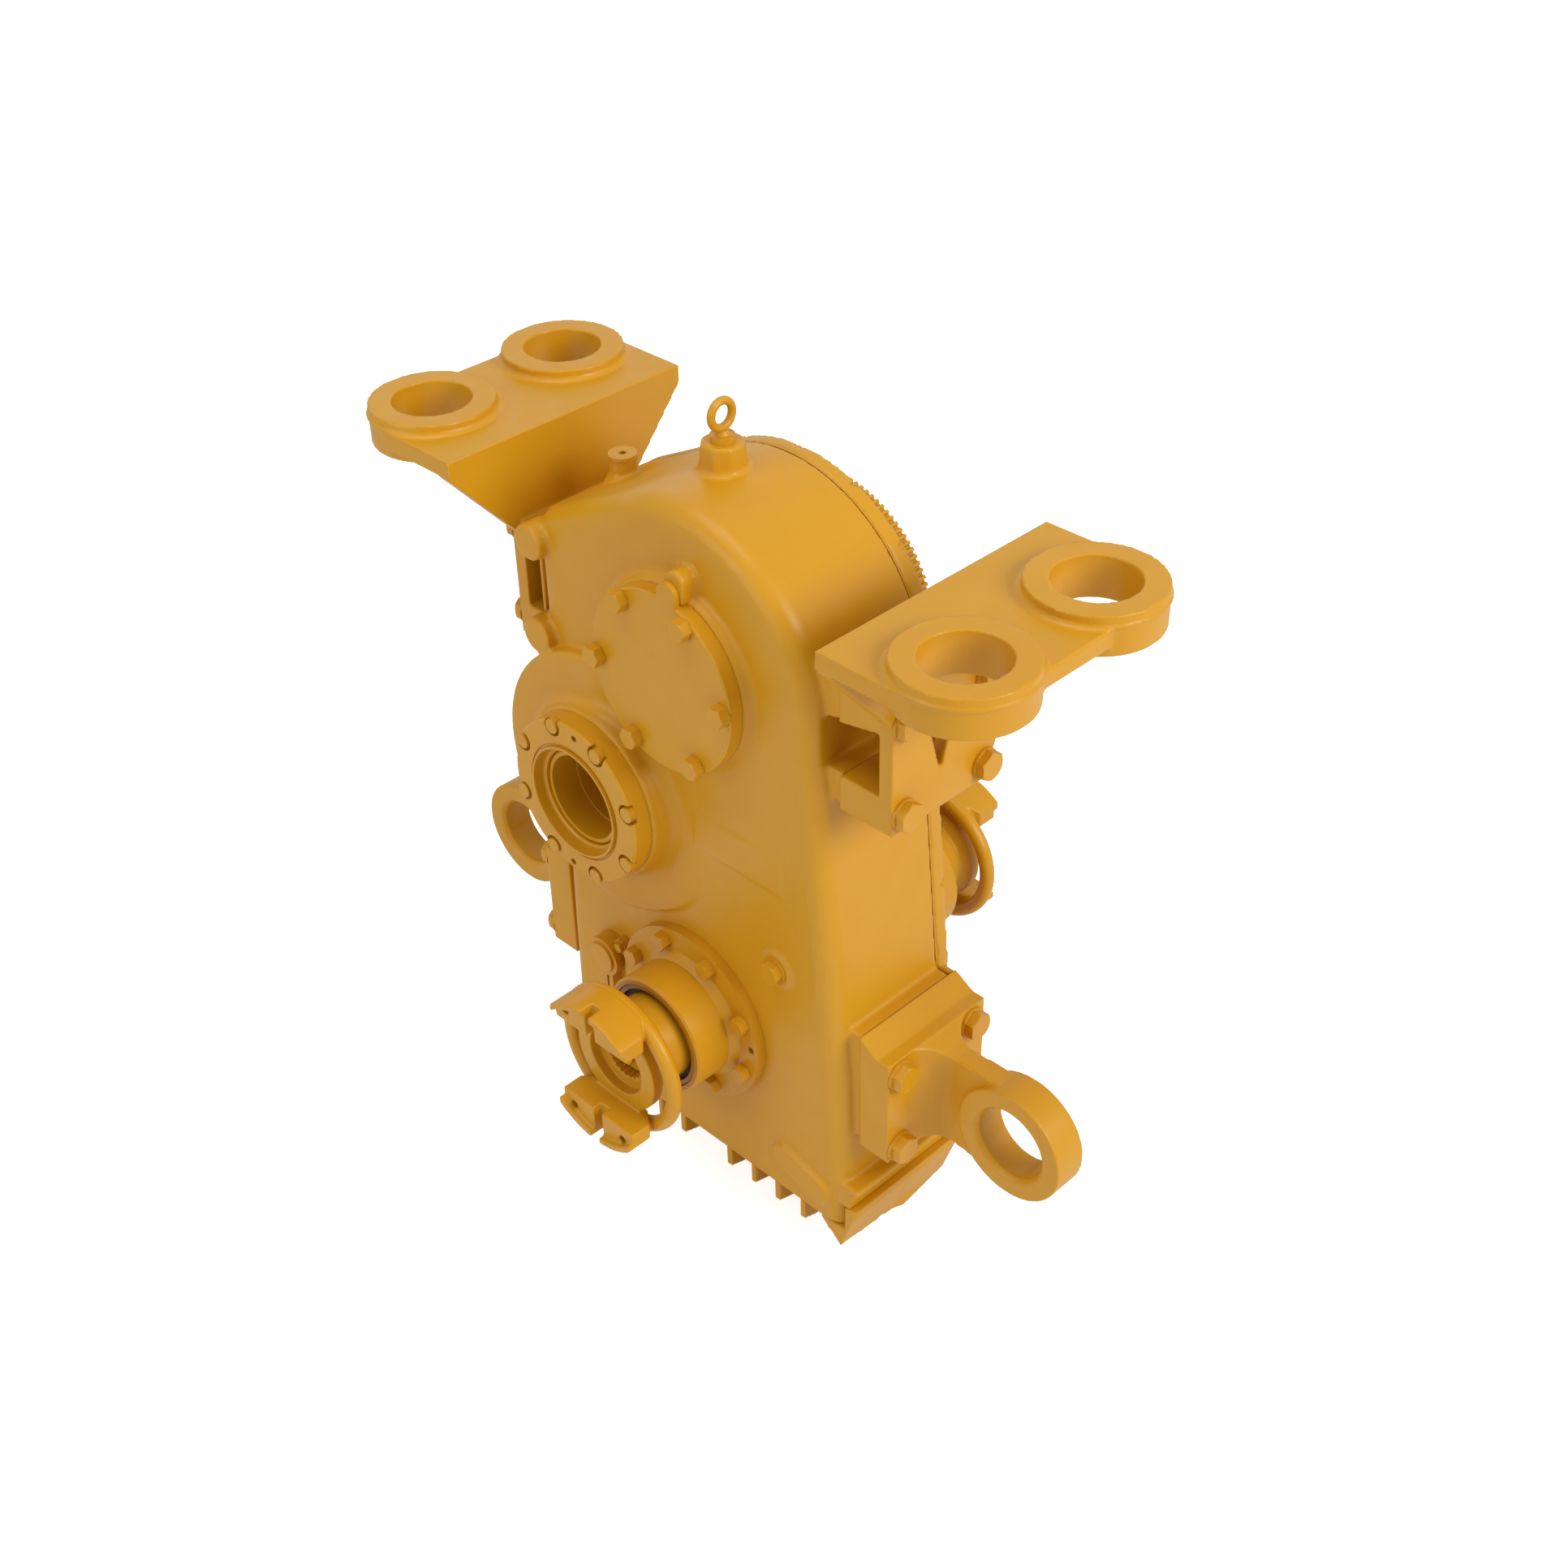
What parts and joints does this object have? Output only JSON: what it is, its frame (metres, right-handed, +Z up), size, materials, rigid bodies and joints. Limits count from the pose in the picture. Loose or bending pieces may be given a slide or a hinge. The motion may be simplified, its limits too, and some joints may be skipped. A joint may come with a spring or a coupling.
{
  "type": "transfer gearbox",
  "caption": "Drop-box transfer gearbox: gear train, planetary centre differential with lock, two driveshaft yokes, side hangers with isolator rings and torque arms.",
  "frame": {"origin": "centre of the four isolator rings, on the plane of their top faces", "axes": "+X to the right-hand hanger seen from the front, +Y along the shafts from the front output to the rear output, +Z up"},
  "size_m": [1.067, 0.712, 1.1215],
  "materials": {
    "paint": "satin",
    "machined_steel": "machined",
    "cast_iron": "as cast and turned",
    "bronze": "machined",
    "seal_rubber": "matte"
  },
  "bodies": {
    "casing": {"front_casing": "paint", "rear_casing": "paint", "casing_gasket": "paint", "casing_bolts": "paint", "oil_sump": "paint", "sump_bolts": "paint", "drain_plug": "paint", "left_hanger": "paint", "right_hanger": "paint", "hanger_bolts": "paint", "left_torque_arm": "paint", "right_torque_arm": "paint", "torque_arm_bolts": "paint", "upper_end_cover": "paint", "end_cover_bolts": "paint", "idler_retainer": "paint", "retainer_bolts": "paint", "idler_seal": "paint", "front_bearing_housing": "paint", "front_housing_bolts": "paint", "front_seal": "seal_rubber", "rear_bearing_housing": "paint", "rear_housing_bolts": "paint", "rear_seal": "seal_rubber", "eye_bolt": "paint", "level_plug": "paint", "breather": "paint", "lock_actuator_cover": "paint", "actuator_bolts": "paint", "bearing_outer_rings": "machined_steel"},
    "upper_rotor": {"upper_shaft": "machined_steel", "upper_gear": "machined_steel", "upper_inner_rings": "machined_steel", "toothed_wheel": "paint"},
    "idler_rotor": {"idler_shaft": "paint", "idler_gear": "machined_steel", "idler_inner_rings": "machined_steel"},
    "carrier": {"carrier_front": "cast_iron", "carrier_rear": "cast_iron", "drive_gear": "machined_steel", "carrier_bolts": "machined_steel", "planet_pins": "machined_steel", "carrier_inner_rings": "machined_steel"},
    "planet_body_1": {"planet_1": "bronze"},
    "planet_body_2": {"planet_2": "bronze"},
    "planet_body_3": {"planet_3": "bronze"},
    "planet_body_4": {"planet_4": "bronze"},
    "front_output": {"sun_gear": "machined_steel", "front_output_shaft": "machined_steel", "front_inner_ring": "machined_steel", "front_yoke": "paint", "front_yoke_screw": "paint"},
    "rear_output": {"annulus_gear": "machined_steel", "rear_output_shaft": "machined_steel", "rear_inner_ring": "machined_steel", "rear_yoke": "paint", "rear_yoke_screw": "paint"},
    "lock_sleeve": {"lock_ring": "machined_steel"},
    "lock_shifter": {"lock_fork": "machined_steel"}
  },
  "joints": [
    {"name": "differential_spin", "type": "hinge", "parent": "casing", "child": "carrier", "pos_m": [0, 0, -0.729], "axis": [0, 1, 0], "continuous": true},
    {"name": "idler_spin", "type": "hinge", "parent": "casing", "child": "idler_rotor", "pos_m": [-0.13607, 0, -0.43055], "axis": [0, 1, 0], "continuous": true},
    {"name": "input_spin", "type": "hinge", "parent": "casing", "child": "upper_rotor", "pos_m": [0, 0, -0.209], "axis": [0, 1, 0], "continuous": true},
    {"name": "rear_output_spin", "type": "hinge", "parent": "carrier", "child": "rear_output", "pos_m": [0, 0, -0.729], "axis": [0, 1, 0], "continuous": true},
    {"name": "front_output_spin", "type": "hinge", "parent": "carrier", "child": "front_output", "pos_m": [0, 0, -0.729], "axis": [0, 1, 0], "continuous": true},
    {"name": "planet_1_spin", "type": "hinge", "parent": "carrier", "child": "planet_body_1", "pos_m": [0.07071, 0, -0.65829], "axis": [0, 1, 0], "continuous": true},
    {"name": "planet_2_spin", "type": "hinge", "parent": "carrier", "child": "planet_body_2", "pos_m": [-0.07071, 0, -0.65829], "axis": [0, 1, 0], "continuous": true},
    {"name": "planet_3_spin", "type": "hinge", "parent": "carrier", "child": "planet_body_3", "pos_m": [-0.07071, 0, -0.79971], "axis": [0, 1, 0], "continuous": true},
    {"name": "planet_4_spin", "type": "hinge", "parent": "carrier", "child": "planet_body_4", "pos_m": [0.07071, 0, -0.79971], "axis": [0, 1, 0], "continuous": true},
    {"name": "lock_shift", "type": "slide", "parent": "casing", "child": "lock_shifter", "axis": [0, 1, 0], "range_m": [0, 0.0075]},
    {"name": "lock_sleeve_slide", "type": "slide", "parent": "front_output", "child": "lock_sleeve", "axis": [0, 1, 0], "range_m": [0, 0.0075]}
  ],
  "couplings": [
    {"joint": "idler_spin", "follows": "differential_spin", "ratio": -1.7333},
    {"joint": "input_spin", "follows": "differential_spin", "ratio": 1.4857},
    {"joint": "front_output_spin", "follows": "rear_output_spin", "ratio": -2.4483},
    {"joint": "planet_1_spin", "follows": "rear_output_spin", "ratio": 3.381},
    {"joint": "planet_2_spin", "follows": "rear_output_spin", "ratio": 3.381},
    {"joint": "planet_3_spin", "follows": "rear_output_spin", "ratio": 3.381},
    {"joint": "planet_4_spin", "follows": "rear_output_spin", "ratio": 3.381},
    {"joint": "lock_sleeve_slide", "follows": "lock_shift", "ratio": 1}
  ]
}
